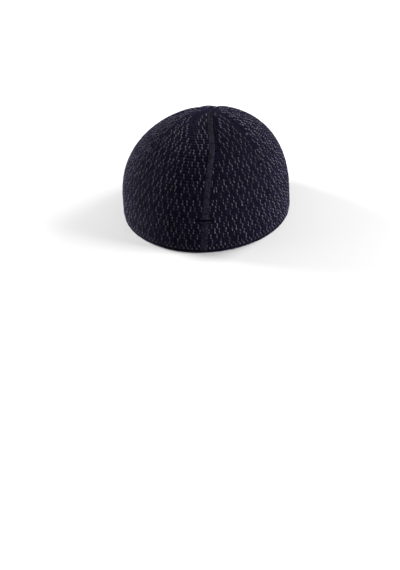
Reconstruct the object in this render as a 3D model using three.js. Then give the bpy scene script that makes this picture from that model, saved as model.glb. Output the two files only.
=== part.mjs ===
// Knit prayer cap: a close-fitting knit dome, a hem turned up inside its rim, and one plain seam
// up the back. Millimetres, +Z up. The origin is on the plane that the rim stands on, under the
// middle of the cap. +Y is the wearer's front, so the seam is on the -Y side, and +X is the
// wearer's right.
import * as THREE from 'three';

// Size of the cap over the outside of the cloth
const HALF_WIDTH = 83.9;
const HALF_LENGTH = 100;
const HEIGHT = 99.8;
const SHOULDER = 18.3;             // the side stands plumb up to this height, then domes over
const DOME_ROUNDING = 1.95;        // power of the plan radius in the dome's profile
const DOME_FULLNESS = 0.416;       // power of the dome's rise
const LEAN = 9.7;                  // the top of the crown leans this far to the wearer's right
const LEAN_POWER = 3;              // the lean grows with this power of the height
const GATHER_FORWARD = 0.25;       // the crown gathers this share of the half length forward

// Cloth
const KNIT = 2.2;                  // thickness of the patterned knit
const HEM_KNIT = 2.0;              // thickness of the turned-up layer
const HEM_HEIGHT = 31;
const FOLD_HEIGHT = 2.5;           // the turned edge that shows under the patterned knit
const FOLD_ROUND = 0.9;
const GAP = 0.3;                   // clearance that is kept between neighbouring solids

// Narrowings: the crown is drawn in along eight plain wedges, each a shallow valley. A wedge starts
// at an angle round the cap, in degrees, and turns by so much more on its way to the gathering point.
const NARROWINGS = [
  { angle: 24, turn: -14, depth: 0.7 },
  { angle: 72, turn: 5, depth: 2.0 },
  { angle: 110, turn: 0, depth: 1.1 },
  { angle: 160, turn: -4, depth: 0.8 },
  { angle: 201, turn: -11, depth: 1.0 },
  { angle: 251, turn: -26, depth: 1.0 },
  { angle: 279, turn: 0, depth: 0.8 },
  { angle: 321, turn: -7, depth: 1.0 },
];
const VALLEY_WIDTH = 4.2;
const VALLEY_STARTS = 0.62;        // share of the plan radius where a valley begins to show
const VALLEY_FULL = 0.33;
const TURN_STARTS = 0.6;           // and where its turn begins and ends
const TURN_ENDS = 0.2;

// Back seam: how far it strays from the middle of the back, in degrees round the cap, at each
// distance up the cloth from the rim
const SEAM_PATH = [
  { up: 0, stray: -2.7 }, { up: 30, stray: -0.6 }, { up: 55, stray: 0.5 }, { up: 78, stray: 1.6 },
  { up: 98, stray: 2.9 }, { up: 110, stray: 1.6 }, { up: 125, stray: -1.4 }, { up: 150, stray: -5 },
];
const BACK = 270;
const SEAM_WIDTH = 7.6;
const SEAM_WIDTH_AT_TOP = 5.4;
const SEAM_RISE = 1.4;             // crest of the seam over the knit
const SEAM_EDGE = 0.8;             // height of its side edges
const SEAM_SHOULDER = { side: 0.6, share: 0.85 };   // where its flat top turns down to the sides
const SEAM_STOPS_SHORT = 6;        // from the gathering point, where the last stitches are drawn in
const TUCK_UP = 34;                // the hem's top edge pulls a tuck across the seam
const TUCK_LENGTH = 2.2;
const TUCK_DEPTH = 0.7;

// Fineness of the faceted solids
const COLUMNS = 96;
const OUTER_RINGS = 24;
const INNER_RINGS = 12;
const SEAM_STATIONS = 40;
const PROFILE_STEPS = 600;
const STEP = 0.01;                 // small move used to find a surface's direction
const GATHER_ROUND = 1;            // the cloth's direction at the gathering point is read this far out

const MEAN_RADIUS = (HALF_WIDTH + HALF_LENGTH) / 2;
const TURN = Math.PI / 180;

const smooth = (low, high, value) => THREE.MathUtils.smoothstep(value, low, high);

// Height of the dome over a point of its plan, where reach is 0 at the middle and 1 at the side.
function domeHeight(reach) {
  const rise = Math.max(0, 1 - Math.min(1, reach) ** DOME_ROUNDING) ** DOME_FULLNESS;
  return SHOULDER + (HEIGHT - SHOULDER) * rise;
}

// Distance up the cloth for each plan radius, measured along the mean profile.
function measureProfile() {
  const rows = [{ up: 0, reach: 1 }, { up: SHOULDER, reach: 1 }];
  let up = SHOULDER;
  for (let i = 1; i <= PROFILE_STEPS; i += 1) {
    const before = Math.cos(((i - 1) / PROFILE_STEPS) * Math.PI / 2);
    const reach = i === PROFILE_STEPS ? 0 : Math.cos((i / PROFILE_STEPS) * Math.PI / 2);
    up += Math.hypot((before - reach) * HALF_LENGTH, domeHeight(reach) - domeHeight(before));
    rows.push({ up, reach });
  }
  return rows;
}
const PROFILE = measureProfile();
const CLOTH_HEIGHT = PROFILE[PROFILE.length - 1].up;

// Reads one column of a table at a value of its key column.
function readTable(rows, key, column, value) {
  const last = rows.length - 1;
  if (value <= rows[0][key]) return rows[0][column];
  if (value >= rows[last][key]) return rows[last][column];
  const i = rows.findIndex((row) => row[key] > value);
  const share = (value - rows[i - 1][key]) / (rows[i][key] - rows[i - 1][key]);
  return THREE.MathUtils.lerp(rows[i - 1][column], rows[i][column], share);
}
const reachAt = (up) => readTable(PROFILE, 'up', 'reach', up);

// Smooth outer form of the cap, with no valleys: an angle in radians round the cap, and a distance
// up the cloth. All lines up the cloth meet at the gathering point, forward of the middle.
function form(angle, up) {
  const reach = reachAt(up);
  const across = reach * Math.cos(angle);
  const along = reach * Math.sin(angle) + GATHER_FORWARD * (1 - reach * reach) ** 2;
  const z = up < SHOULDER ? up : domeHeight(Math.hypot(across, along));
  const lean = LEAN * (z / HEIGHT) ** LEAN_POWER;
  return new THREE.Vector3(HALF_WIDTH * across + lean, HALF_LENGTH * along, z);
}

// Direction straight out of the cloth. At the gathering point it is the mean of those around it.
function outward(angle, up) {
  if (up > CLOTH_HEIGHT - 2 * STEP) {
    const sum = new THREE.Vector3();
    for (const quarter of [0, 90, 180, 270]) sum.add(outward(quarter * TURN, CLOTH_HEIGHT - GATHER_ROUND));
    return sum.normalize();
  }
  const aside = form(angle + STEP, up).sub(form(angle - STEP, up));
  const upward = form(angle, up + STEP).sub(form(angle, Math.max(0, up - STEP)));
  return aside.cross(upward).normalize();
}

// Depth of the valleys at a place on the crown. Where two meet, the deeper one holds.
function valleys(angle, up) {
  const reach = reachAt(up);
  const begun = 1 - smooth(VALLEY_FULL, VALLEY_STARTS, reach);
  const turned = 1 - smooth(TURN_ENDS, TURN_STARTS, reach);
  let deepest = 0;
  for (const row of NARROWINGS) {
    const away = angle - (row.angle + row.turn * turned) * TURN;
    const turn = THREE.MathUtils.euclideanModulo(away + Math.PI, 2 * Math.PI) - Math.PI;
    const aside = (turn * MEAN_RADIUS * reach) / VALLEY_WIDTH;
    deepest = Math.max(deepest, row.depth * begun * Math.exp(-aside * aside));
  }
  return deepest;
}

// A point of the cap, lifted off the outside of the cloth, or sunk into it where lift is negative.
function place(angle, up, lift = 0) {
  return form(angle, up).addScaledVector(outward(angle, up), lift - valleys(angle, up));
}

// One ring round the cap, from the +X side towards the front.
function ring(up, lift) {
  const points = [];
  for (let i = 0; i < COLUMNS; i += 1) points.push(place((i / COLUMNS) * 2 * Math.PI, up, lift));
  return points;
}

// Joins rings of points into one closed skin. A ring of one point closes an end, and where the
// rings themselves form a loop, the last is joined to the first.
function skin(rings, looped) {
  const starts = [];
  const positions = [];
  for (const points of rings) {
    starts.push(positions.length / 3);
    for (const point of points) positions.push(point.x, point.y, point.z);
  }
  const faces = [];
  const pairs = looped ? rings.length : rings.length - 1;
  for (let i = 0; i < pairs; i += 1) {
    const next = (i + 1) % rings.length;
    const count = Math.max(rings[i].length, rings[next].length);
    for (let j = 0; j < count; j += 1) {
      const k = (j + 1) % count;
      const top = (n) => starts[i] + (rings[i].length === 1 ? 0 : n);
      const foot = (n) => starts[next] + (rings[next].length === 1 ? 0 : n);
      if (rings[next].length > 1) faces.push(top(j), foot(j), foot(k));
      if (rings[i].length > 1) faces.push(top(j), foot(k), top(k));
    }
  }
  const geometry = new THREE.BufferGeometry();
  geometry.setAttribute('position', new THREE.Float32BufferAttribute(positions, 3));
  geometry.setIndex(faces);
  geometry.computeVertexNormals();
  return geometry;
}

function named(name, geometry, color) {
  const material = new THREE.MeshStandardMaterial({ color, roughness: 0.95, metalness: 0 });
  const mesh = new THREE.Mesh(geometry, material);
  mesh.name = name;
  return mesh;
}

// The patterned knit, one hollow shell from just over the turned edge to the gathering point.
function knitCrown() {
  const foot = FOLD_HEIGHT + GAP;
  const shell = [[place(0, CLOTH_HEIGHT)]];
  for (let i = 1; i <= OUTER_RINGS; i += 1) {
    shell.push(ring(THREE.MathUtils.lerp(CLOTH_HEIGHT, foot, i / OUTER_RINGS), 0));
  }
  for (let i = INNER_RINGS; i >= 1; i -= 1) {
    shell.push(ring(THREE.MathUtils.lerp(CLOTH_HEIGHT, foot, i / INNER_RINGS), -KNIT));
  }
  shell.push([place(0, CLOTH_HEIGHT, -KNIT)]);
  return skin(shell, false);
}

// The hem: the turned edge that the cap stands on, and the layer that goes up inside the knit.
function turnedHem() {
  const back = -KNIT - GAP;
  const inside = back - HEM_KNIT;
  const topRound = FOLD_ROUND / 2;
  const chamfer = FOLD_ROUND / 4;
  const section = [
    { up: FOLD_HEIGHT - GAP, lift: 0 },
    { up: FOLD_ROUND, lift: 0 },
    { up: chamfer, lift: -chamfer },
    { up: 0, lift: -FOLD_ROUND },
    { up: 0, lift: inside + FOLD_ROUND },
    { up: chamfer, lift: inside + chamfer },
    { up: FOLD_ROUND, lift: inside },
    { up: HEM_HEIGHT / 2, lift: inside },
    { up: HEM_HEIGHT - topRound, lift: inside },
    { up: HEM_HEIGHT, lift: inside + topRound },
    { up: HEM_HEIGHT, lift: back - topRound },
    { up: HEM_HEIGHT - topRound, lift: back },
    { up: HEM_HEIGHT / 2, lift: back },
    { up: FOLD_HEIGHT, lift: back },
    { up: FOLD_HEIGHT, lift: -GAP },
  ];
  return skin(section.map((corner) => ring(corner.up, corner.lift)), true);
}

// The seam's path is a smooth curve through the rows of its table.
const SEAM_CURVE = new THREE.SplineCurve(SEAM_PATH.map((row) => new THREE.Vector2(row.up, row.stray)));
const SEAM_POINTS = SEAM_CURVE.getPoints(PROFILE_STEPS).map((point) => ({ up: point.x, stray: point.y }));

// One cut across the seam. Its underside keeps the gap to the knit, and its top is a low arch, a
// share of its full height.
function seamSection(up, share) {
  const middle = (BACK + readTable(SEAM_POINTS, 'up', 'stray', up)) * TURN;
  const half = THREE.MathUtils.lerp(SEAM_WIDTH, SEAM_WIDTH_AT_TOP, up / CLOTH_HEIGHT) / 2;
  const radius = MEAN_RADIUS * reachAt(up);
  const crest = GAP + (SEAM_RISE - GAP) * share;
  const shoulder = GAP + (SEAM_RISE - GAP) * share * SEAM_SHOULDER.share;
  const corners = [
    { side: -1, lift: GAP },
    { side: 0, lift: GAP },
    { side: 1, lift: GAP },
    { side: 1, lift: SEAM_EDGE },
    { side: SEAM_SHOULDER.side, lift: shoulder },
    { side: 0, lift: crest },
    { side: -SEAM_SHOULDER.side, lift: shoulder },
    { side: -1, lift: SEAM_EDGE },
  ];
  return corners.map((corner) => place(middle + (corner.side * half) / radius, up, corner.lift));
}

// The seam: a low rounded ridge that lies on the knit, with a tuck across it.
function backSeam() {
  const bottom = FOLD_HEIGHT + GAP;
  const top = CLOTH_HEIGHT - SEAM_STOPS_SHORT;
  const tuck = 1 - TUCK_DEPTH / SEAM_RISE;
  const cuts = [
    { up: TUCK_UP - TUCK_LENGTH / 2, share: 1 },
    { up: TUCK_UP, share: tuck },
    { up: TUCK_UP + TUCK_LENGTH / 2, share: 1 },
  ];
  for (let i = 0; i <= SEAM_STATIONS; i += 1) {
    const up = THREE.MathUtils.lerp(bottom, top, i / SEAM_STATIONS);
    if (Math.abs(up - TUCK_UP) > TUCK_LENGTH) cuts.push({ up, share: 1 });
  }
  cuts.sort((a, b) => a.up - b.up);
  const sections = cuts.map((cut) => seamSection(cut.up, cut.share));
  const ends = [sections[0], sections[sections.length - 1]].map((points) => {
    const middle = new THREE.Vector3();
    for (const point of points) middle.addScaledVector(point, 1 / points.length);
    return [middle];
  });
  return skin([ends[0], ...sections, ends[1]], false);
}

const cap = new THREE.Group();
cap.add(named('knit_crown', knitCrown(), '#1b1a26'));
cap.add(named('turned_hem', turnedHem(), '#16151f'));
cap.add(named('back_seam', backSeam(), '#1f1e28'));

export default cap;
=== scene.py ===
"""Knit prayer cap: every stitch of the knit, the hem turned up inside the rim, and the back seam.

The cap is worked out in millimetres on two parameters: an angle round the cap and a distance up the
cloth from the rim. Each stitch is a small yarn shape laid on those two, so it bends with the cloth.
"""

import bpy
import numpy as np
from bpy.props import FloatProperty, FloatVectorProperty, IntProperty, PointerProperty
from mathutils import Matrix, Vector


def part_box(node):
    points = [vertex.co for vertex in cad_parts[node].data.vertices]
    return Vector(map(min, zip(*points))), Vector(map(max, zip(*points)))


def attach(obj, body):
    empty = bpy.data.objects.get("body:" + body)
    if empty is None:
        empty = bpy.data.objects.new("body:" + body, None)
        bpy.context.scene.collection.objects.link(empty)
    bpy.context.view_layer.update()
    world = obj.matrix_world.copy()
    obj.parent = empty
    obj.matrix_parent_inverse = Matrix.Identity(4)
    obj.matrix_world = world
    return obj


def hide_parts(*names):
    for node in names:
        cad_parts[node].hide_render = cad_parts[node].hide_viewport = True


bl_info = {
    "name": "Knit prayer cap",
    "version": (1, 0, 0),
    "blender": (4, 5, 0),
    "location": "3D View > Sidebar > Prayer Cap",
    "description": "Builds a two-yarn knit prayer cap, stitch by stitch",
    "category": "Object",
}

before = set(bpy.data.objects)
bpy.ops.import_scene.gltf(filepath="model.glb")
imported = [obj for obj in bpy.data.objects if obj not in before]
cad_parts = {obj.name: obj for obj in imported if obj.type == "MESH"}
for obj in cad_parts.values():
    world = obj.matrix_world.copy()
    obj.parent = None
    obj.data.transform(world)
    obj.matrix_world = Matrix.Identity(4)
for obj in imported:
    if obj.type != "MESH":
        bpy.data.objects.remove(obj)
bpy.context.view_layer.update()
HEM_LOW, HEM_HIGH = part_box("turned_hem")

MM = 0.001
TURN = np.pi / 180

# The dome over the outside of the cloth, as the solid cap has it
HEIGHT = 99.8
SHOULDER = 18.3  # the side stands plumb up to this height, then domes over
DOME_ROUNDING = 1.95
DOME_FULLNESS = 0.416
LEAN = 9.7  # the top of the crown leans this far to the wearer's right
LEAN_POWER = 3
GATHER_FORWARD = 0.25  # the crown gathers this share of the half length forward

# The crown is drawn in along eight narrowings. Each stands at an angle round the cap, turns by so
# many degrees near the top, and sinks so many millimetres. Under them the columns stray with the
# seam, by the share given as drift. Before and after its line lies a strip without specks: its width,
# and the distance up the cloth that it begins at.
NARROWINGS = (
    {"angle": 24, "turn": -14, "depth": 0.7, "drift": 0, "before": (4.5, 101), "after": (2.5, 106)},
    {"angle": 72, "turn": 5, "depth": 2.0, "drift": 0, "before": (3.0, 106), "after": (3.0, 106)},
    {"angle": 110, "turn": 0, "depth": 1.1, "drift": 0, "before": (3.0, 106), "after": (3.0, 106)},
    {"angle": 160, "turn": -4, "depth": 0.8, "drift": 0, "before": (4.0, 106), "after": (1.5, 120)},
    {"angle": 201, "turn": -11, "depth": 0.2, "drift": 0.5, "before": (0.8, 100), "after": (5.2, 98)},
    {"angle": 251, "turn": -26, "depth": 1.0, "drift": 1, "before": (6.0, 101), "after": (5.0, 118)},
    {"angle": 279, "turn": 0, "depth": 0.8, "drift": 1, "before": (7.0, 84), "after": (1.2, 96)},
    {"angle": 321, "turn": -7, "depth": 1.0, "drift": 0.5, "before": (3.2, 105), "after": (3.2, 105)},
)
STRIP_OPENS = (-0.1, 5)  # a strip opens from and to so many millimetres over where it begins
DRIFT_ENDS = 98  # distance up the cloth over which the seam's stray carries the columns
VALLEY_WIDTH = 4.2
VALLEY_STARTS, VALLEY_FULL = 0.62, 0.33  # shares of the plan radius
TURN_STARTS, TURN_ENDS = 0.6, 0.2
BARE_TOP = 12  # no specks this near the gathering point

# Back seam: pairs of a distance up the cloth and how far the seam strays there from the middle of
# the back, in degrees
BACK = 270
SEAM_PATH = (
    (0, -2.7), (30, -0.6), (55, 0.5), (78, 1.6), (98, 2.9), (110, 1.6), (125, -1.4), (150, -5),
)
SEAM_WIDTH, SEAM_WIDTH_AT_TOP = 7.6, 5.4
SEAM_RISE = 0.7
SEAM_COLUMNS, SEAM_COURSE, SEAM_YARN = 4, 2.1, 1.05  # finer than the rest of the knit
SEAM_LAP = 1.35  # each stitch is this many courses long, so it laps over the next
SEAM_COVERED = 0.92  # share of the seam's width that its stitches cover
SEAM_OVERLAP = 1.5  # the crown's stitches reach this far under the seam's edge
SEAM_STOPS_SHORT = 3
SEAM_TAPER = {"length": 16, "share": 0.5}  # near its top the seam gets this much narrower and lower
SEAM_WANDER = 0.5  # its stitches stray this share as far as the others
SEAM_CHANCE = 1.0  # how far the tone of the seam's stitches strays
# Painted light at the seam's left edge and painted shade at its right edge, growing with the square of
# the distance from its middle
SEAM_EDGE_PAINTED_LIGHT = {"left": 0.1, "right": -0.35}  # added to the tone at each edge of the seam
# Pairs of a distance up the cloth and the share of the paler tone in the seam's yarn: painted light and
# shade along the seam, palest about 100 mm up, and painted shade near the gathering point, where it faces
# up into the light
SEAM_PAINTED_LIGHT_BY_HEIGHT = ((0, 0.5), (40, 0.7), (75, 0.85), (102, 0.95), (122, 0.4), (145, 0.05))

# A crease across the seam, pulled in by the hem's top edge. It reaches further to the left of the
# seam than to the right, and stitches keep clear of its bottom.
TUCK = {"up": 34.2, "length": 1.9, "depth": 2.4, "reach": 10.5, "to_left": 2.0, "clear": 1.4}

# Knit: 244 columns round the rim, of which the seam takes three
COLUMNS_ROUND = 244
COLUMNS_SHOWN = 241
FIRST_COLUMN = 270.2  # angle of the first column, just right of the seam
FIRST_COURSE = -0.8  # distance up the cloth of the middle of course 0
CLOSING_UP = {"starts": 20, "ends": 110, "share": 0.1}  # columns stand closer higher up
CROWN_FIRST_COURSE = 2
TOP_COURSES_END = 3.5  # the last course lies this far from the gathering point
LEAST_ROOM = 0.02  # share of a column's width: where less is left beside it, the column ends
NAVY_PIECES = ("front", "left", "right")  # the navy stitches of three lanes each
GATHER = {"stitches": 9, "width": 2.2, "length": 4.4, "sink": 0.1, "closes_at": 1.2}

# The speck pattern repeats every eight columns. A pattern row is two courses high. Each letter
# names the columns of the repeat that are knitted in the grey yarn. The first row, at the rim, is a
# checker instead: the odd columns of its lower course and the even ones of its upper course.
PATTERN_REPEAT = 8
PATTERN_ROWS = {"S": (2, 6), "Q": (0, 3, 5), "P": (1, 4, 7)}
PATTERN_START = "SPQPQSQPSPQS"
PATTERN_CYCLE = "SQPSPQ"  # from the fourteenth row on, starting at its second letter

# A leg of yarn has five points. They stand at these shares of its length, and the yarn's half width
# and half height at the inner three are these shares of its radius.
LEG_POINTS = np.array([0, 0.16, 0.5, 0.84, 1])
LEG_GIRTH = np.array([[0.7, 0.75], [1, 1], [0.8, 0.75]])
YARN_RADIUS = 0.42  # share of the yarn's thickness, because the knit presses it
# Leg of a navy stitch: where its foot stands and how far it swings out, in columns; its low end and
# its length, in courses; how far its middle is sunk and its ends bow under that, in millimetres
NAVY_LEG = {"foot": 0.07, "swing": 0.33, "low": -0.56, "long": 1.1, "sunk": 0.3, "bow": 0.95}
# Legs of a grey stitch: where the foot and the head stand, as shares of a column, how far the leg is
# sunk, its radius as a share of the yarn, and its sides
SPECK_LEGS = ((0.27, -0.27, 0.2, 0.43, 5), (-0.12, 0.24, 0.6, 0.35, 4))
# Arc of the knit's back: its width in columns and the height of its wave in courses
BACK_ARC = {"wide": 1.15, "wave": 0.24, "sunk": 0.25, "bow": 0.8}
STRAY = (0.09, 0.08, 0.07)  # how far chance moves a stitch round, up and off the cloth
UNEVEN_SIZE = 0.04  # share by which chance changes its size
# Pairs of a distance up the cloth and what is added there to the tone of the specks: painted shade
# makes them duller near the rim, and painted light makes them paler near the top
SPECK_PAINTED_LIGHT_BY_HEIGHT = ((0, -0.2), (30, -0.17), (60, -0.13), (85, -0.02), (105, 0.18), (130, 0.3))

# Layers of the cloth, in millimetres from its outer face
KNIT = 2.2
HEM_KNIT = 2.0
LAYER_GAP = 0.3
GROUND_OUTER, GROUND_INNER = -0.75, -1.5
HEM_HEIGHT = 31
FOLD_HEIGHT = 2.5
HEM_FIRST_COURSE = -0.9  # place of the middle of course 0 along the hem's path
HEM_EDGE_ENDS = 9  # the courses nearer than this along the path are the edge, which shows outside

# Grounds behind the stitches. The crown's leaves an opening round the gathering point, which its
# poles close. The hem's stops short of the hem's top, and is so thick at its top, middle and fold.
# The seam's is sunk under the seam's arch and has a flat underside.
CROWN_GROUND = {"columns": 160, "rings": 52, "opening": 1.2}
HEM_GROUND = {"columns": 200, "step": 1.2, "short": 0.6, "thick": (1.6, 1.6, 1.9)}
SEAM_GROUND = {"rows": 90, "arch_points": 8, "sunk": 0.45, "underside": -0.2}


def smooth(low, high, value):
    """Eases from 0 at low to 1 at high: three times the square, less twice the cube."""
    share = np.clip((value - low) / (high - low), 0, 1)
    return share * share * (3 - 2 * share)


def full_turn(count):
    """So many angles, evenly round a full turn, in radians."""
    return np.arange(count) / count * 2 * np.pi


def smooth_path(pairs):
    """A function whose curve runs through pairs of numbers. In each span it is the cubic whose slope
    at a pair is half the step from the pair before to the pair after."""
    knots = np.array(pairs, float)
    ends = np.vstack([knots[0], knots, knots[-1]])
    t = np.linspace(0, 1, 80, endpoint=False)[:, None]
    spans = []
    for before, start, end, after in zip(ends, ends[1:], ends[2:], ends[3:]):
        out, into = (end - before) / 2, (after - start) / 2
        spans.append(
            (2 * start - 2 * end + out + into) * t**3
            + (3 * end - 3 * start - 2 * out - into) * t**2
            + out * t
            + start
        )
    curve = np.vstack([*spans, knots[-1]])
    return lambda place: np.interp(place, curve[:, 0], curve[:, 1])


class CapForm:
    """The outside of the cap as a function of an angle round it, in radians, and a distance up the
    cloth, in millimetres, with the seam, the narrowings and the tuck that lie on it."""

    def __init__(self, sizes):
        self.half_width = sizes.half_width / MM
        self.half_length = sizes.half_length / MM
        self.mean_radius = (self.half_width + self.half_length) / 2
        slant = np.linspace(0, np.pi / 2, 601)
        reach = np.cos(slant)
        reach[-1] = 0
        rise = np.diff(self.dome_height(reach))
        steps = np.hypot(np.diff(reach) * self.half_length, rise)
        self.ups = np.concatenate([[0, SHOULDER], SHOULDER + np.cumsum(steps)])
        self.reaches = np.concatenate([[1], reach])
        self.top = self.ups[-1]
        self.seam_stray = smooth_path(SEAM_PATH)

    def dome_height(self, reach):
        """Height over a point of the plan: the shoulder, and over it the rest of the height times
        one less a power of the plan radius, itself to a power."""
        fall = np.minimum(1, reach) ** DOME_ROUNDING
        return SHOULDER + (HEIGHT - SHOULDER) * np.clip(1 - fall, 0, None) ** DOME_FULLNESS

    def reach(self, up):
        """Share of the plan radius at a distance up the cloth."""
        return np.interp(up, self.ups, self.reaches)

    def form(self, angle, up):
        """An oval of the plan radius, its middle moved forward towards the gathering point, at the
        dome's height, leaning to one side with a power of the height."""
        reach = self.reach(up)
        across = reach * np.cos(angle)
        along = reach * np.sin(angle) + GATHER_FORWARD * (1 - reach * reach) ** 2
        height = np.where(up < SHOULDER, up, self.dome_height(np.hypot(across, along)))
        x = self.half_width * across + LEAN * (height / HEIGHT) ** LEAN_POWER
        return np.stack([x, self.half_length * along, height], -1)

    def outward(self, angle, up):
        """Direction out of the cloth: the cross product of a small step round and one up. At the
        gathering point it is the direction just below."""
        step, just_below = 0.01, 0.5
        up = np.clip(up, step, self.top - just_below)
        aside = self.form(angle + step, up) - self.form(angle - step, up)
        upward = self.form(angle, up + step) - self.form(angle, up - step)
        normal = np.cross(aside, upward)
        return normal / np.linalg.norm(normal, axis=-1, keepdims=True)

    def narrowing(self, row, up):
        """Angle of a narrowing, in degrees: it strays with the seam lower down, and turns as the
        plan radius gets small."""
        stray = self.seam(np.minimum(up, DRIFT_ENDS)) - self.seam(DRIFT_ENDS)
        turned = 1 - smooth(TURN_ENDS, TURN_STARTS, self.reach(up))
        return row["angle"] + row["turn"] * turned + row["drift"] * stray

    def seam(self, up):
        """Angle of the seam's middle, in degrees."""
        return BACK + self.seam_stray(up)

    def offset(self, angle, line, up):
        """Distance round the cloth, in millimetres, from a line that is given in degrees."""
        turn = (angle - line * TURN + np.pi) % (2 * np.pi) - np.pi
        return turn * self.mean_radius * self.reach(up)

    def hollows(self, angle, up):
        """How far the cloth is drawn in: the deepest of the bell-shaped valleys along the
        narrowings, and the sharp crease of the tuck across the seam."""
        begun = 1 - smooth(VALLEY_FULL, VALLEY_STARTS, self.reach(up))
        depth = np.zeros(np.broadcast(angle, up).shape)
        for row in NARROWINGS:
            aside = self.offset(angle, self.narrowing(row, up), up) / VALLEY_WIDTH
            depth = np.maximum(depth, row["depth"] * begun * np.exp(-aside * aside))
        away = np.abs(up - TUCK["up"]) / TUCK["length"]
        return depth + TUCK["depth"] * self.tuck_share(angle, up) * np.exp(-away)

    def tuck_share(self, angle, up):
        """Share of the tuck's depth at an angle: a bell of the fourth power, whole a little to the
        left of the seam and none beyond its reach."""
        aside = (self.offset(angle, self.seam(up), up) + TUCK["to_left"]) / TUCK["reach"]
        return np.exp(-(aside**4))

    def beside_tuck(self, angle, up):
        """Distances up of stitches, one in each row, moved clear of the tuck's crease."""
        clear = TUCK["clear"] * self.tuck_share(angle, up)
        above = up.mean(axis=1, keepdims=True) > TUCK["up"]
        return np.where(above, np.maximum(up, TUCK["up"] + clear), np.minimum(up, TUCK["up"] - clear))

    def place(self, angle, up, lift):
        """A point of the cap, moved along the cloth's outward direction by its lift, less the
        hollows. Below the rim the cloth goes straight down."""
        up = np.minimum(up, self.top)
        over_rim = np.maximum(up, 0)
        base = self.form(angle, over_rim)
        base[..., 2] += np.minimum(up, 0)
        away = lift - self.hollows(angle, over_rim)
        return base + self.outward(angle, up) * away[..., None]

    def round_at(self, line, across, up):
        """Angle, in radians, of a place so many millimetres from a line given in degrees. The reach
        is held at its least close to the gathering point."""
        least = 0.01
        return line * TURN + across / (self.mean_radius * np.maximum(self.reach(up), least))


def crown_lanes(cap):
    """The crown's stitches in lanes between narrowings. Each lane has the angle, in degrees, of its
    two edges and of the line that its columns run along, as functions of the distance up, and the
    strips without specks at its edges. The lane that the seam crosses is two, and their columns run
    along the seam."""
    lanes = []
    for row, after in zip(NARROWINGS, NARROWINGS[1:] + NARROWINGS[:1]):
        full = 360 if after["angle"] < row["angle"] else 0

        def start(up, row=row):
            return cap.narrowing(row, up)

        def end(up, after=after, full=full):
            return cap.narrowing(after, up) + full

        def middle(up, start=start, end=end):
            return (start(up) + end(up)) / 2

        plain = {"left": row["after"], "right": after["before"]}
        none = (0, 0)
        if row["angle"] < BACK < after["angle"]:
            lanes.append({**plain, "start": start, "end": cap.seam, "line": cap.seam, "right": none})
            lanes.append({**plain, "start": cap.seam, "end": end, "line": cap.seam, "left": none})
        else:
            lanes.append({**plain, "start": start, "end": end, "line": middle})
    return lanes


def closeness(cap, up):
    """Spacing of the columns at a distance up the cloth, as a share of that at the rim. It is
    never less than the cap's own narrowing, so the columns leave no gap."""
    share = 1 - CLOSING_UP["share"] * smooth(CLOSING_UP["starts"], CLOSING_UP["ends"], up)
    return np.maximum(share, cap.reach(up))


def lane_angle(cap, lane, side, up):
    """Angle of a place so many millimetres from a lane's line, as measured at the rim."""
    return cap.round_at(lane["line"](up), side * closeness(cap, up), up)


def grey_table(courses):
    """True where a column of the repeat is grey, for each course from the fold."""
    table = np.zeros((courses, PATTERN_REPEAT), bool)
    table[2, 1::2] = True
    table[3, 0::2] = True
    for course in range(4, courses):
        number = course // 2 - 2
        if number < len(PATTERN_START):
            kind = PATTERN_START[number]
        else:
            kind = PATTERN_CYCLE[(number - len(PATTERN_START) + 1) % len(PATTERN_CYCLE)]
        table[course, list(PATTERN_ROWS[kind])] = True
    return table


def plain_width(up, width, begins):
    """Width of the strip without specks at one edge of a lane: it opens from where it begins."""
    return width * smooth(begins + STRIP_OPENS[0], begins + STRIP_OPENS[1], up)


def crown_stitches(cap, sizes):
    """Every stitch of the crown: for each lane, arrays of the distance from the lane's line at the
    rim, the distance up, and whether it is grey. A column ends where its lane has no room left, and
    the last column of a lane stands halfway to the middle of the room that it has."""
    width = 2 * np.pi * cap.mean_radius / COLUMNS_ROUND
    height = sizes.course / MM
    courses = np.arange(CROWN_FIRST_COURSE, int((cap.top - TOP_COURSES_END) / height) + 1)
    ups = FIRST_COURSE + height * courses
    columns = np.arange(COLUMNS_SHOWN)
    angles = FIRST_COLUMN + columns * 360 / COLUMNS_ROUND
    grey = grey_table(courses.max() + 1)[courses][:, columns % PATTERN_REPEAT]
    lanes = crown_lanes(cap)
    for lane in lanes:
        start, end, line = (float(lane[name](0.0)) for name in ("start", "end", "line"))
        turned = start + (angles - start) % 360
        inside = turned < end
        rim = (turned[inside] - line) * TURN * cap.mean_radius
        up, across = np.meshgrid(ups, rim, indexing="ij")
        shown = across * closeness(cap, up)
        radius = cap.mean_radius * cap.reach(up) * TURN
        seam = seam_half_width(cap, up) - SEAM_OVERLAP
        left = (lane["start"](up) - lane["line"](up)) * radius + seam * (lane["start"] == cap.seam)
        right = (lane["end"](up) - lane["line"](up)) * radius - seam * (lane["end"] == cap.seam)
        room = np.minimum(shown - left, right - shown)
        keep = room > LEAST_ROOM * width
        last = room < (1 + LEAST_ROOM) * width
        spare = np.where(last, (room - width / 2) / 2, 0)
        across = across + np.where(shown - left < right - shown, -spare, spare)
        speck = (shown - left > plain_width(up, *lane["left"])) & (
            right - shown > plain_width(up, *lane["right"])
        )
        speck &= grey[:, inside] & (up < cap.top - BARE_TOP)
        lane.update(across=across[keep], up=up[keep], grey=speck[keep])
    return lanes, width, height


def seam_taper(cap, up):
    """Share of the seam's fullness: whole nearly all the way, and less towards its top end."""
    starts = cap.top - SEAM_STOPS_SHORT - SEAM_TAPER["length"]
    return 1 - SEAM_TAPER["share"] * smooth(starts, cap.top, up)


def seam_half_width(cap, up):
    """Half the seam's width, which eases from the rim to the top and tapers at its end."""
    full = SEAM_WIDTH + (SEAM_WIDTH_AT_TOP - SEAM_WIDTH) * up / cap.top
    return full / 2 * seam_taper(cap, up)


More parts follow.
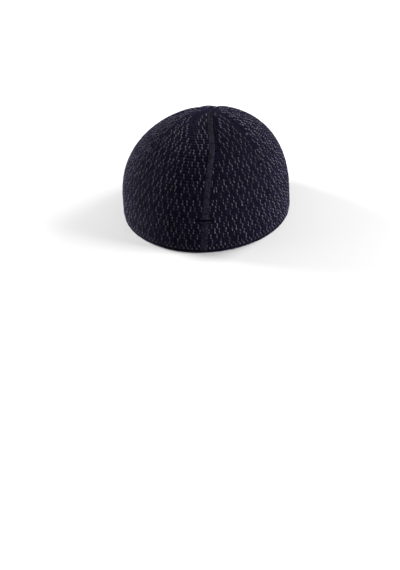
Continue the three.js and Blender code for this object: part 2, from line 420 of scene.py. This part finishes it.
def tuck_rows(ups):
    """Adds rows close to the tuck's crease to a falling array of distances up the cloth."""
    close = TUCK["up"] + TUCK["length"] * np.array([-2.5, -1.2, -0.5, 0, 0.5, 1.2, 2.5])
    return np.sort(np.concatenate([ups, close]))[::-1]


def yarn_piece(path, radii, sides, turned=False):
    """A short round yarn along a path of (side, rise, lift) points: an oval ring of so many sides
    at each inner point, square to the path, and a pole at each end. Returns its points, faces with
    three or four corners, and for each corner how far along the yarn and round it that corner is.
    Where turned is true, the faces are wound the other way, for a side where lift points inwards."""
    path = np.asarray(path, float)
    along = np.gradient(path, axis=0)
    along /= np.linalg.norm(along, axis=1, keepdims=True)
    aside = np.cross(along, [0, 0, 1.0])
    aside /= np.linalg.norm(aside, axis=1, keepdims=True)
    over = np.cross(aside, along)
    turn = full_turn(sides) + np.pi / 2
    rings = np.arange(1, len(path) - 1)
    wide, high = np.asarray(radii, float).T
    ring_points = (
        path[rings, None]
        + (wide[:, None] * np.cos(turn))[..., None] * aside[rings, None]
        + (high[:, None] * np.sin(turn))[..., None] * over[rings, None]
    )
    points = np.vstack([path[:1], ring_points.reshape(-1, 3), path[-1:]])
    around = np.arange(sides)
    beside = (around + 1) % sides
    length = np.concatenate([[0], np.cumsum(np.linalg.norm(np.diff(path, axis=0), axis=1))])

    def corners(lengths, steps):
        """Length along and share round at the corners of the faces of one ring."""
        turned = np.stack([around + step for step in steps], 1) / sides
        return np.stack([np.broadcast_to(lengths, turned.shape), turned], 2)

    quads, quad_uv = [], []
    for ring in rings[:-1]:
        low, upper = 1 + (ring - 1) * sides, 1 + ring * sides
        quads.append(np.stack([low + around, low + beside, upper + beside, upper + around], 1))
        near, far = length[ring], length[ring + 1]
        quad_uv.append(corners((near, near, far, far), (0, 1, 1, 0)))
    last = 1 + (len(rings) - 1) * sides
    foot = np.stack([np.zeros(sides, int), 1 + beside, 1 + around], 1)
    head = np.stack([np.full(sides, len(points) - 1), last + around, last + beside], 1)
    foot_uv = corners((0, length[1], length[1]), (0.5, 1, 0))
    head_uv = corners((length[-1], length[-2], length[-2]), (0.5, 0, 1))
    made = {
        "points": points,
        "quads": np.concatenate(quads),
        "tris": np.concatenate([foot, head]),
        "quad_uv": np.concatenate(quad_uv),
        "tri_uv": np.concatenate([foot_uv, head_uv]),
    }
    if turned:
        for name in ("quads", "tris", "quad_uv", "tri_uv"):
            made[name] = made[name][:, ::-1]
    return made


def joined(*parts):
    """Several yarn pieces as one."""
    starts = np.cumsum([0] + [len(part["points"]) for part in parts])
    made = {name: np.concatenate([part[name] for part in parts]) for name in parts[0]}
    for name in ("quads", "tris"):
        made[name] = np.concatenate([part[name] + start for part, start in zip(parts, starts)])
    return made


def face_stitch(width, height, yarn, sides=5):
    """A stitch as the knit's face shows it: two legs that stand in a V. Each leg leaves the middle
    at its foot and swings out with a quarter sine, and its middle stands highest of the cloth."""
    t, leg = LEG_POINTS, NAVY_LEG
    legs = []
    for hand in (1, -1):
        side = hand * width * (leg["foot"] + leg["swing"] * np.sin(np.pi / 2 * t**1.1))
        rise = height * (leg["low"] + leg["long"] * t)
        lift = -leg["sunk"] - leg["bow"] * np.abs(2 * t - 1) ** 2
        path = np.stack([side, rise, lift], 1)
        legs.append(yarn_piece(path, LEG_GIRTH * (YARN_RADIUS * yarn), sides))
    return joined(*legs)


def speck_stitch(width, height, yarn):
    """A stitch of the grey yarn, which is drawn tight between the navy ones: one leg slants over the
    other, so the stitch is a slim stroke that leans. Both legs are straight from the side, and
    their ends bow under the middle by the square of the distance from it."""
    t = LEG_POINTS
    legs = []
    for low, high, sink, thick, sides in SPECK_LEGS:
        side = width * (low + (high - low) * t)
        rise = height * (-0.5 + t)
        lift = -sink - np.abs(2 * t - 1) ** 2
        legs.append(yarn_piece(np.stack([side, rise, lift], 1), LEG_GIRTH * thick * yarn, sides))
    return joined(*legs)


def back_stitch(width, height, yarn):
    """A stitch as the knit's back shows it: one arc of yarn, a full cosine wave across the column."""
    t = np.array([0, 0.2, 0.5, 0.8, 1])
    girth = np.array([[0.8, 0.8], [1, 1], [0.8, 0.8]]) * (YARN_RADIUS * yarn)
    side = width * BACK_ARC["wide"] * (t - 0.5)
    rise = height * BACK_ARC["wave"] * np.cos(2 * np.pi * (t - 0.5))
    lift = -BACK_ARC["sunk"] - BACK_ARC["bow"] * np.abs(2 * t - 1) ** 2.5
    return yarn_piece(np.stack([side, rise, lift], 1), girth, 4, turned=True)


def lay(stitch, side, up, place, rng, wander=1.0):
    """Copies a stitch to many places at once. Each copy strays a little, by seeded chance, and
    place turns arrays of (side, up, lift) into points. Returns them with the chance shades."""
    count, size = len(side), len(stitch["points"])
    stray = rng.normal(0, 1, (count, 3)) * STRAY * wander
    grow = 1 + rng.normal(0, UNEVEN_SIZE, (count, 1)) * wander
    points = stitch["points"]
    laid = place(
        side[:, None] + stray[:, :1] + points[:, 0] * grow,
        up[:, None] + stray[:, 1:2] + points[:, 1],
        stray[:, 2:] + points[:, 2] * grow,
    )
    shade = np.repeat(rng.uniform(0, 1, count), size)
    return laid.reshape(-1, 3), shade


def mesh_piece(name, points, quads, tris, material, shade=None, quad_uv=None, tri_uv=None):
    """Puts arrays of points, in millimetres, and faces into a new smooth mesh object."""
    mesh = bpy.data.meshes.new(name)
    corners = np.concatenate([quads.ravel(), tris.ravel()]).astype(np.int32)
    starts = np.concatenate([np.arange(len(quads)) * 4, quads.size + np.arange(len(tris)) * 3])
    mesh.vertices.add(len(points))
    mesh.vertices.foreach_set("co", (points * MM).astype(np.float32).ravel())
    mesh.loops.add(len(corners))
    mesh.loops.foreach_set("vertex_index", corners)
    mesh.polygons.add(len(starts))
    mesh.polygons.foreach_set("loop_start", starts.astype(np.int32))
    mesh.polygons.foreach_set("use_smooth", np.ones(len(starts), bool))
    mesh.update(calc_edges=True)
    if shade is not None:
        shades = mesh.attributes.new("shade", "FLOAT", "POINT").data
        shades.foreach_set("value", shade.astype(np.float32))
        uv = np.concatenate([quad_uv.reshape(-1, 2), tri_uv.reshape(-1, 2)])
        mesh.uv_layers.new(name="yarn").data.foreach_set("uv", uv.astype(np.float32).ravel())
    if mesh.validate():
        raise RuntimeError(f"the mesh of {name} had faults")
    mesh.materials.append(material)
    made = bpy.data.objects.new(name, mesh)
    bpy.context.scene.collection.objects.link(made)
    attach(made, "root")
    return made


def knit_piece(name, stitch, laid, material):
    """One mesh of many copies of a stitch, from groups of the points and shades they are laid at."""
    points, shade = (np.concatenate(arrays) for arrays in zip(*laid))
    size = len(stitch["points"])
    count = len(points) // size
    if count == 0:
        raise RuntimeError(f"{name} has no stitches")
    steps = np.arange(count)[:, None, None] * size
    quads = (stitch["quads"] + steps).reshape(-1, 4)
    tris = (stitch["tris"] + steps).reshape(-1, 3)
    quad_uv, tri_uv = (np.tile(stitch[key], (count, 1, 1)) for key in ("quad_uv", "tri_uv"))
    made = mesh_piece(name, points, quads, tris, material, shade, quad_uv, tri_uv)


def skin_faces(rows, columns, loop_rows=False):
    """Quads of a grid of rows that each close on themselves. Where loop_rows is true, the last row
    is joined to the first as well."""
    row, column = np.meshgrid(np.arange(rows - 1 + loop_rows), np.arange(columns), indexing="ij")
    above, beside = (row + 1) % rows, (column + 1) % columns
    corners = [(row, column), (above, column), (above, beside), (row, beside)]
    return np.stack([r * columns + c for r, c in corners], -1).reshape(-1, 4)


def closed_skin(rings):
    """Points and faces of a closed skin: quads join each ring to the next, and triangles join the
    first and the last ring to a pole in its middle."""
    rows, columns = rings.shape[:2]
    around = np.arange(columns)
    beside = (around + 1) % columns
    pole, last = rows * columns, (rows - 1) * columns
    start = np.stack([np.full(columns, pole), around, beside], 1)
    end = np.stack([np.full(columns, pole + 1), last + beside, last + around], 1)
    points = np.concatenate([rings.reshape(-1, 3), [rings[0].mean(0), rings[-1].mean(0)]])
    return points, skin_faces(rows, columns), np.concatenate([start, end])


def srgb(colour):
    """A colour that was picked in sRGB, as linear values with full alpha."""
    c = np.array(colour[:3], float)
    linear = np.where(c <= 0.04045, c / 12.92, ((c + 0.055) / 1.055) ** 2.4)
    return (*linear, 1.0)


def hex_colour(text):
    """Red, green and blue from 0 to 1 of an sRGB hex value."""
    return tuple(int(text[i : i + 2], 16) / 255 for i in (1, 3, 5))


MIX_A, MIX_B, MIX_COLOUR = 6, 7, 2  # the colour sockets of a Mix node


def add_node(tree, kind, inputs=None, **settings):
    """Adds a shader node with its settings. Each input is set to a value, or linked where it is
    given a socket."""
    made = tree.nodes.new(f"ShaderNode{kind}")
    for name, value in settings.items():
        setattr(made, name, value)
    for name, value in (inputs or {}).items():
        if isinstance(value, bpy.types.NodeSocket):
            tree.links.new(value, made.inputs[name])
        else:
            made.inputs[name].default_value = value
    return made


def blank_material(name):
    """A new material, its empty node tree, and the socket of each point's place on its piece."""
    material = bpy.data.materials.new(name)
    material.use_nodes = True
    tree = material.node_tree
    tree.nodes.clear()
    return material, tree, add_node(tree, "TexCoord").outputs["Object"]


def yarn_material(name, dark, light, sheen, tint, fibre=0.45, contrast=0.5, roughness=0.9):
    """Matte spun yarn. Its colour wanders between dark and light from stitch to stitch and in
    flecks of fibre, its plies show as a slanting bump, and sheen stands for its fuzz."""
    material, tree, place = blank_material(name)
    noise = {"Vector": place, "Scale": 1 / (fibre * MM), "Detail": 3.0, "Roughness": 0.6}
    fibres = add_node(tree, "TexNoise", noise).outputs["Fac"]
    shade = add_node(tree, "Attribute", attribute_name="shade").outputs["Fac"]
    flecks = {"Value": fibres, "From Min": 0.3, "From Max": 0.7, "To Min": -contrast, "To Max": contrast}
    uneven = add_node(tree, "MapRange", flecks).outputs["Result"]
    mixed = add_node(tree, "Math", {0: shade, 1: uneven}, operation="ADD", use_clamp=True)
    tones = {0: mixed.outputs[0], MIX_A: srgb(dark), MIX_B: srgb(light)}
    colour = add_node(tree, "Mix", tones, data_type="RGBA")
    yarn = add_node(tree, "UVMap", uv_map="yarn").outputs["UV"]
    slanted = add_node(tree, "Mapping", {"Vector": yarn, "Scale": (1.1, 2.0, 1.0)})
    twist = {"Vector": slanted.outputs[0], "Scale": 0.5, "Distortion": 0.6, "Detail": 1.0}
    plies = add_node(tree, "TexWave", twist, bands_direction="DIAGONAL").outputs["Fac"]
    ply = {"Height": plies, "Strength": 0.35, "Distance": 0.12 * MM}
    ply_bump = add_node(tree, "Bump", ply).outputs[0]
    fuzz = {"Height": fibres, "Strength": 0.5, "Distance": 0.15 * MM, "Normal": ply_bump}
    fuzz_bump = add_node(tree, "Bump", fuzz).outputs[0]
    surface = {
        "Base Color": colour.outputs[MIX_COLOUR], "Roughness": roughness, "IOR": 1.5,
        "Specular IOR Level": 0.02, "Sheen Weight": sheen, "Sheen Roughness": 0.45,
        "Sheen Tint": srgb(hex_colour(tint)), "Normal": fuzz_bump,
    }
    shader = add_node(tree, "BsdfPrincipled", surface)
    add_node(tree, "OutputMaterial", {"Surface": shader.outputs[0]})
    return material


def plain_material(name, colour, roughness):
    """A matte surface of one tone with a faint unevenness."""
    material, tree, place = blank_material(name)
    patches = add_node(tree, "TexNoise", {"Vector": place, "Scale": 6.0, "Detail": 2.0})
    tone = np.array(srgb(colour))
    tones = {0: patches.outputs["Fac"], MIX_A: tone * [0.97, 0.97, 0.97, 1], MIX_B: tone}
    mixed = add_node(tree, "Mix", tones, data_type="RGBA").outputs[MIX_COLOUR]
    surface = {"Base Color": mixed, "Roughness": roughness, "IOR": 1.5}
    shader = add_node(tree, "BsdfPrincipled", surface)
    add_node(tree, "OutputMaterial", {"Surface": shader.outputs[0]})
    return material


def yarn_once(name, *values, **settings):
    """The yarn of that name, which is made at its first use."""
    return bpy.data.materials.get(name) or yarn_material(name, *values, **settings)


def navy_yarn(colours):
    """Navy acrylic and cotton yarn, spun and loosely knitted: nearly black in its folds, with a
    lavender bloom where light grazes its fuzz."""
    tones = colours.navy_dark, colours.navy_light
    return yarn_once("navy_acrylic_yarn", *tones, sheen=0.1, tint="#9d98cc")


def grey_yarn(colours):
    """Grey melange yarn of pale and dark fibres spun together: flecked rather than even."""
    tones = colours.grey_dark, colours.grey_light
    return yarn_once("grey_melange_yarn", *tones, sheen=0.1, tint="#d8d5e2", fibre=0.6, contrast=0.6)


def seam_yarn(colours):
    """The same navy yarn worked tight and pressed, so it is greyer, a little smoother and mottled
    in patches about as wide as a stitch."""
    return yarn_once(
        "navy_yarn_linked_seam", colours.seam_dark, colours.seam_light, sheen=0.08, tint="#c4c1d2",
        fibre=2.2, contrast=0.9, roughness=0.8,
    )


def ground_cloth(colours):
    """The inside of the knit behind its stitches: the same navy yarn in shadow."""
    dark = colours.navy_dark
    return yarn_once("navy_yarn_in_shadow", dark, dark, sheen=0.02, tint="#b9b4d6")


class CapSizes(bpy.types.PropertyGroup):
    """Sizes of the cap and its knit."""

    half_width: FloatProperty(
        name="Half width", description="From the middle of the cap to its side, over the cloth",
        default=(HEM_HIGH.x - HEM_LOW.x) / 2, unit="LENGTH",
    )
    half_length: FloatProperty(
        name="Half length", description="From the middle of the cap to its back, over the cloth",
        default=(HEM_HIGH.y - HEM_LOW.y) / 2, unit="LENGTH",
    )
    course: FloatProperty(
        name="Course height", description="Height of one row of stitches",
        default=2.8 * MM, unit="LENGTH",
    )
    yarn: FloatProperty(
        name="Yarn thickness", description="Diameter of the yarn where nothing presses it",
        default=1.35 * MM, unit="LENGTH",
    )
    seed: IntProperty(
        name="Seed", description="Start of the chance that makes the stitches uneven", default=7
    )


def yarn_tone(name, description, colour):
    """A property that holds an sRGB colour."""
    return FloatVectorProperty(
        name=name, description=description, default=hex_colour(colour), subtype="COLOR_GAMMA",
        min=0, max=1,
    )


class CapColours(bpy.types.PropertyGroup):
    """Colours of the yarns, as sRGB values."""

    navy_dark: yarn_tone("Navy, dark", "Darkest tone of the navy yarn", "#090812")
    navy_light: yarn_tone("Navy, light", "Lightest tone of the navy yarn", "#151325")
    grey_dark: yarn_tone("Grey, dark", "Darkest tone of the grey yarn", "#29282f")
    grey_light: yarn_tone("Grey, light", "Lightest tone of the grey yarn", "#525059")
    seam_dark: yarn_tone("Seam, dark", "Darkest tone of the seam", "#0e0d15")
    seam_light: yarn_tone("Seam, light", "Lightest tone of the seam", "#292835")


def start_piece(context, number):
    """The sizes, the colours, the cap's form, and chance with a seed of the piece's own."""
    sizes, colours = context.scene.prayer_cap_sizes, context.scene.prayer_cap_colours
    return sizes, colours, CapForm(sizes), np.random.default_rng(sizes.seed + number)


class CAP_OT_crown_ground(bpy.types.Operator):
    """Build the closed shell of cloth behind the crown's stitches"""

    bl_idname = "prayer_cap.crown_ground"
    bl_label = "Crown ground"

    def execute(self, context):
        """Rings of the cap's form, down the outside from the gathering point and up the inside."""
        cap = CapForm(context.scene.prayer_cap_sizes)
        angle = full_turn(CROWN_GROUND["columns"])
        top, bottom = cap.top - CROWN_GROUND["opening"], FOLD_HEIGHT + LAYER_GAP
        up = tuck_rows(np.linspace(top, bottom, CROWN_GROUND["rings"]))[:, None]
        outer, inner = cap.place(angle, up, GROUND_OUTER), cap.place(angle, up[::-1], GROUND_INNER)
        skin = closed_skin(np.concatenate([outer, inner]))
        made = mesh_piece("crown_ground", *skin, ground_cloth(context.scene.prayer_cap_colours))
        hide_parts("knit_crown")
        return {"FINISHED"}


class CAP_OT_crown_stitches(bpy.types.Operator):
    """Knit the outside of the crown in navy and grey stitches"""

    bl_idname = "prayer_cap.crown_stitches"
    bl_label = "Crown stitches"

    def execute(self, context):
        """Stitches stand in columns along their lane's line and in courses up the cloth."""
        sizes, colours, cap, rng = start_piece(context, 0)
        lanes, width, height = crown_stitches(cap, sizes)
        navy, grey = (make(width, height, sizes.yarn / MM) for make in (face_stitch, speck_stitch))
        painted_light_at = smooth_path(SPECK_PAINTED_LIGHT_BY_HEIGHT)
        laid = {name: [] for name in (*NAVY_PIECES, "grey")}
        for number, lane in enumerate(lanes):
            part = NAVY_PIECES[number * len(NAVY_PIECES) // len(lanes)]

            def place(side, up, lift, lane=lane):
                angle = lane_angle(cap, lane, side, up)
                return cap.place(angle, cap.beside_tuck(angle, up), lift)

            for name, stitch, chosen in ((part, navy, ~lane["grey"]), ("grey", grey, lane["grey"])):
                if chosen.any():
                    up = lane["up"][chosen]
                    points, shade = lay(stitch, lane["across"][chosen], up, place, rng)
                    # The grey stitches get painted shade near the rim and painted light near the top
                    if name == "grey":
                        shade = np.clip(shade + np.repeat(painted_light_at(up), len(stitch["points"])), 0, 1)
                    laid[name].append((points, shade))
        for name in NAVY_PIECES:
            knit_piece(f"crown_navy_{name}", navy, laid[name], navy_yarn(colours))
        knit_piece("crown_grey_specks", grey, laid["grey"], grey_yarn(colours))
        return {"FINISHED"}


class CAP_OT_crown_inside(bpy.types.Operator):
    """Knit the wrong side of the crown, which shows inside the cap above the hem"""

    bl_idname = "prayer_cap.crown_inside"
    bl_label = "Crown inside"

    def execute(self, context):
        """Behind each stitch of the outside lies its arc on the inner face of the cloth."""
        sizes, colours, cap, rng = start_piece(context, 3)
        lanes, width, height = crown_stitches(cap, sizes)
        stitch = back_stitch(width, height, sizes.yarn / MM)
        laid = {"navy": [], "grey": []}
        for lane in lanes:

            def place(side, up, lift, lane=lane):
                return cap.place(lane_angle(cap, lane, side, up), up, -KNIT - lift)

            over_hem = lane["up"] > HEM_HEIGHT
            for name, chosen in (("navy", over_hem & ~lane["grey"]), ("grey", over_hem & lane["grey"])):
                if chosen.any():
                    laid[name].append(lay(stitch, lane["across"][chosen], lane["up"][chosen], place, rng))
        for name, yarn in (("navy", navy_yarn(colours)), ("grey", grey_yarn(colours))):
            knit_piece(f"crown_inside_{name}", stitch, laid[name], yarn)
        return {"FINISHED"}


class CAP_OT_crown_gather(bpy.types.Operator):
    """Draw the last stitches of the crown together at the gathering point"""

    bl_idname = "prayer_cap.crown_gather"
    bl_label = "Crown gather"

    def execute(self, context):
        """Long stitches like spokes, from the last course to the gathering point."""
        sizes, colours, cap, rng = start_piece(context, 4)
        spoke = 2 * np.pi / GATHER["stitches"]
        stitch = face_stitch(GATHER["width"], GATHER["length"], sizes.yarn / MM)
        middle = cap.top - GATHER["length"] / 2
        number = np.arange(GATHER["stitches"])

        def place(side, up, lift):
            turned = spoke * np.broadcast_to(number[:, None], side.shape)
            reach = np.maximum(cap.top - up, GATHER["closes_at"])
            return cap.place(turned + side / reach, up, lift - GATHER["sink"])

        laid = lay(stitch, np.zeros(len(number)), np.full(len(number), middle), place, rng)
        knit_piece("crown_gather", stitch, [laid], navy_yarn(colours))
        return {"FINISHED"}


class CAP_OT_turned_hem(bpy.types.Operator):
    """Knit the plain hem that turns up inside the rim"""

    bl_idname = "prayer_cap.turned_hem"
    bl_label = "Turned hem"

    def execute(self, context):
        """A path down the outside, round the fold and up the inside carries rings of the ground
        and courses of plain stitches."""
        sizes, colours, cap, rng = start_piece(context, 1)
        inside = -KNIT - LAYER_GAP - HEM_KNIT
        path = hem_path(inside)
        stations = np.arange(0, path[-1, 0], HEM_GROUND["step"])
        up, lift, out_up, out_lift = along_hem(path, stations)
        back_up = [HEM_HEIGHT - HEM_GROUND["short"], HEM_HEIGHT / 2, FOLD_HEIGHT]
        back_lift = inside + np.array(HEM_GROUND["thick"])
        up = np.concatenate([up + out_up * GROUND_OUTER, back_up])[:, None]
        lift = np.concatenate([lift + out_lift * GROUND_OUTER, back_lift])[:, None]
        rings = cap.place(full_turn(HEM_GROUND["columns"]), up, lift)
        quads = skin_faces(*rings.shape[:2], loop_rows=True)
        none = np.zeros((0, 3), int)
        ground = mesh_piece("hem_ground", rings.reshape(-1, 3), quads, none, ground_cloth(colours))
        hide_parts("turned_hem")

        width, height = 2 * np.pi * cap.mean_radius / COLUMNS_ROUND, sizes.course / MM
        stitch = face_stitch(width, height, sizes.yarn / MM, sides=4)
        upside_down = {**stitch, "points": stitch["points"] * [-1, -1, 1]}
        angles = FIRST_COLUMN + np.arange(COLUMNS_ROUND) * 360 / COLUMNS_ROUND

        def place(side, along, lift):
            mid_up, mid_lift, out_up, out_lift = along_hem(path, along)
            return cap.place(side / cap.mean_radius, mid_up + out_up * lift, mid_lift + out_lift * lift)

        courses = np.arange(1, int(path[-1, 0] / height) + 1) * height + HEM_FIRST_COURSE
        edge = courses < HEM_EDGE_ENDS
        for name, chosen in (("hem_edge_stitches", edge), ("hem_inner_stitches", ~edge)):
            side, along = np.meshgrid(angles * TURN * cap.mean_radius, courses[chosen])
            laid = lay(upside_down, side.ravel(), along.ravel(), place, rng)
            knit_piece(name, upside_down, [laid], navy_yarn(colours))
        return {"FINISHED"}


def hem_path(inside):
    """Rows of (length along, up, lift): down from the top of the turned edge, round a half oval,
    and up the inside to just under the hem's top."""
    turn = np.linspace(0, np.pi, 25)
    side = np.linspace(FOLD_HEIGHT, HEM_HEIGHT - 0.5, 12)[1:]
    up = np.concatenate([FOLD_HEIGHT * (1 - np.sin(turn)), side])
    lift = np.concatenate([inside / 2 * (1 - np.cos(turn)), np.full(len(side), inside)])
    length = np.concatenate([[0], np.cumsum(np.hypot(np.diff(up), np.diff(lift)))])
    return np.stack([length, up, lift], 1)


def along_hem(path, length):
    """Place on the hem's path at a length along it, and its outward direction there, which is
    square to the path. Beyond its ends the path goes straight on."""
    step = 0.4

    def at(length):
        return np.stack([np.interp(length, path[:, 0], path[:, column]) for column in (1, 2)])

    d_up, d_lift = at(length + step) - at(length - step)
    size = np.maximum(np.hypot(d_up, d_lift), 1e-6)
    over = np.maximum(length - path[-1, 0], 0) - np.maximum(-length, 0)
    up, lift = at(length)
    return up + over * d_up / size, lift + over * d_lift / size, d_lift / size, -d_up / size


class CAP_OT_back_seam(bpy.types.Operator):
    """Knit the plain raised band of the back seam"""

    bl_idname = "prayer_cap.back_seam"
    bl_label = "Back seam"

    def execute(self, context):
        """A low arch along the seam's path, covered in fine stitches."""
        _, colours, cap, rng = start_piece(context, 2)
        bottom, top = FOLD_HEIGHT + LAYER_GAP, cap.top - SEAM_STOPS_SHORT
        up = tuck_rows(np.linspace(bottom, top, SEAM_GROUND["rows"]))[::-1, None]
        side = np.cos(np.linspace(0, np.pi, SEAM_GROUND["arch_points"]))
        across = np.concatenate([-side, side[1:-1]])
        underside = np.full(len(side) - 2, SEAM_GROUND["underside"])
        lifts = np.concatenate([arch(side) - SEAM_GROUND["sunk"], underside])
        half = seam_half_width(cap, up)
        angle = cap.round_at(cap.seam(up), across * half * SEAM_COVERED, up)
        points, quads, tris = closed_skin(cap.place(angle, up, lifts * seam_taper(cap, up)))
        cloth = ground_cloth(colours)
        ground = mesh_piece("seam_ground", points, quads[:, ::-1], tris[:, ::-1], cloth)
        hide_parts("back_seam")

        width = SEAM_WIDTH * SEAM_COVERED / SEAM_COLUMNS
        stitch = face_stitch(width, SEAM_COURSE * SEAM_LAP, SEAM_YARN)
        columns = (np.arange(SEAM_COLUMNS) + 0.5 - SEAM_COLUMNS / 2) * width
        courses = np.arange(bottom + SEAM_COURSE / 2, top, SEAM_COURSE)
        side, ups = (grid.ravel() for grid in np.meshgrid(columns, courses))

        def place(side, up, lift):
            share = side / (SEAM_WIDTH / 2)
            angle = cap.round_at(cap.seam(up), share * seam_half_width(cap, up), up)
            return cap.place(angle, cap.beside_tuck(angle, up), arch(share) * seam_taper(cap, up) + lift)

        points, shade = lay(stitch, side, ups, place, rng, SEAM_WANDER)
        share = side / (SEAM_WIDTH / 2)
        # Painted light at the seam's left edge and painted shade at its right edge
        edge = np.where(side < 0, SEAM_EDGE_PAINTED_LIGHT["left"], SEAM_EDGE_PAINTED_LIGHT["right"]) * share * share
        # Painted light and shade along the seam, by height
        tone = smooth_path(SEAM_PAINTED_LIGHT_BY_HEIGHT)(ups) + edge
        tone = np.repeat(tone, len(stitch["points"])) + SEAM_CHANCE * (shade - 0.5)
        laid = [(points, np.clip(tone, 0, 1))]
        knit_piece("seam_stitches", stitch, laid, seam_yarn(colours))
        return {"FINISHED"}


def arch(side):
    """Height of the seam over the knit, from -1 at one edge to 1 at the other: the rise, times one
    less the fourth power, so it is flat on top."""
    return SEAM_RISE * np.clip(1 - side**4, 0, None)


class CAP_OT_stage(bpy.types.Operator):
    """Set the floor, the lights and the camera"""

    bl_idname = "prayer_cap.stage"
    bl_label = "Stage"

    def execute(self, context):
        """A pale floor under the rim, soft lights all round, and the camera behind the cap."""
        scene = context.scene
        half = 8.0  # metres
        corners = np.array([[-1, -1, 0], [1, -1, 0], [1, 1, 0], [-1, 1, 0]]) * half
        mesh = bpy.data.meshes.new("floor")
        mesh.from_pydata(corners.tolist(), [], [(0, 1, 2, 3)])
        mesh.materials.append(plain_material("matte_studio_paper", hex_colour("#cccccc"), 0.9))
        floor = bpy.data.objects.new("floor", mesh)
        scene.collection.objects.link(floor)

        world = bpy.data.worlds.new("soft_white_room")
        world.use_nodes = True
        glow = world.node_tree.nodes["Background"].inputs
        glow["Color"].default_value = (1, 1, 1, 1)
        glow["Strength"].default_value = 0.25
        scene.world = world
        scene.view_settings.view_transform = "Standard"

        for name, place, energy, width in SOFTBOXES:
            light = bpy.data.lights.new(name, "AREA")
            light.energy = energy
            light.size = width
            lamp = bpy.data.objects.new(name, light)
            lamp.location = place
            aim = Vector(LIGHTS_AIM) - Vector(place)
            lamp.rotation_euler = aim.to_track_quat("-Z", "Y").to_euler()
            scene.collection.objects.link(lamp)

        scene.camera = photo_camera(scene)
        return {"FINISHED"}


# Softboxes: name, place in metres, power in watts, side of the square in metres
SOFTBOXES = (
    ("softbox_right", (1.6, -0.5, 0.5), 71, 0.9),
    ("softbox_left", (-1.6, -0.1, 0.3), 15, 0.9),
    ("softbox_back_left", (-1.5, 0.9, 0.3), 160, 0.9),
    ("softbox_back_right", (1.3, 0.9, 0.6), 40, 0.9),
)
LIGHTS_AIM = (0, 0, 0.05)

# Camera: where it stands round the cap, and where its target falls in an image of 400 by 570 pixels
CAMERA = {
    "distance": 2000,
    "yaw": 1.24,
    "elevation": 24.9,
    "roll": 3.31,
    "target": (0, 0, 55.8),
    "target_pixel": (203.93, 157.21),
    "image": (400, 570),
    "sensor": 36,
}


def photo_camera(scene):
    """A long lens that sees one millimetre of the cap as one pixel. It stands at its yaw and
    elevation, is rolled, and then turned until the target falls on its pixel."""
    yaw, rise, roll = (CAMERA[name] * TURN for name in ("yaw", "elevation", "roll"))
    back = np.array([np.sin(yaw) * np.cos(rise), -np.cos(yaw) * np.cos(rise), np.sin(rise)])
    level = np.array([np.cos(yaw), np.sin(yaw), 0])
    upright = np.cross(back, level)
    right = np.cos(roll) * level - np.sin(roll) * upright
    above = np.cos(roll) * upright + np.sin(roll) * level
    (wide, high), (x, y), distance = CAMERA["image"], CAMERA["target_pixel"], CAMERA["distance"]
    aim = -back - (x - wide / 2) / distance * right - (high / 2 - y) / distance * above
    aim /= np.linalg.norm(aim)
    right -= aim * (right @ aim)
    right /= np.linalg.norm(right)
    above = np.cross(right, aim)
    data = bpy.data.cameras.new("camera")
    data.sensor_width = CAMERA["sensor"]
    data.lens = CAMERA["sensor"] * distance * (aim @ -back) / high
    data.clip_start, data.clip_end = 0.1, 50
    camera = bpy.data.objects.new("camera", data)
    place = (np.array(CAMERA["target"]) + back * distance) * MM
    turned = Matrix(np.stack([right, above, -aim], 1)).to_4x4()
    camera.matrix_world = Matrix.Translation(place) @ turned
    scene.collection.objects.link(camera)
    return camera


STEPS = (
    CAP_OT_crown_ground,
    CAP_OT_crown_stitches,
    CAP_OT_crown_inside,
    CAP_OT_crown_gather,
    CAP_OT_turned_hem,
    CAP_OT_back_seam,
    CAP_OT_stage,
)


class CAP_PT_panel(bpy.types.Panel):
    """Lists the cap's sizes, its colours and the steps that build it"""

    bl_idname = "CAP_PT_panel"
    bl_label = "Knit prayer cap"
    bl_space_type = "VIEW_3D"
    bl_region_type = "UI"
    bl_category = "Prayer Cap"

    def draw(self, context):
        layout = self.layout
        for group in (context.scene.prayer_cap_sizes, context.scene.prayer_cap_colours):
            for name in group.__annotations__:
                layout.prop(group, name)
        for step in STEPS:
            layout.operator(step.bl_idname)


CLASSES = (CapSizes, CapColours, *STEPS, CAP_PT_panel)


def register():
    for made in CLASSES:
        bpy.utils.register_class(made)
    bpy.types.Scene.prayer_cap_sizes = PointerProperty(type=CapSizes)
    bpy.types.Scene.prayer_cap_colours = PointerProperty(type=CapColours)


def unregister():
    del bpy.types.Scene.prayer_cap_colours
    del bpy.types.Scene.prayer_cap_sizes
    for made in reversed(CLASSES):
        bpy.utils.unregister_class(made)


def main():
    """Builds the cap and its stage."""
    register()
    bpy.ops.prayer_cap.crown_ground()
    bpy.ops.prayer_cap.crown_stitches()
    bpy.ops.prayer_cap.crown_inside()
    bpy.ops.prayer_cap.crown_gather()
    bpy.ops.prayer_cap.turned_hem()
    bpy.ops.prayer_cap.back_seam()
    bpy.ops.prayer_cap.stage()


if __name__ == "__main__":
    main()
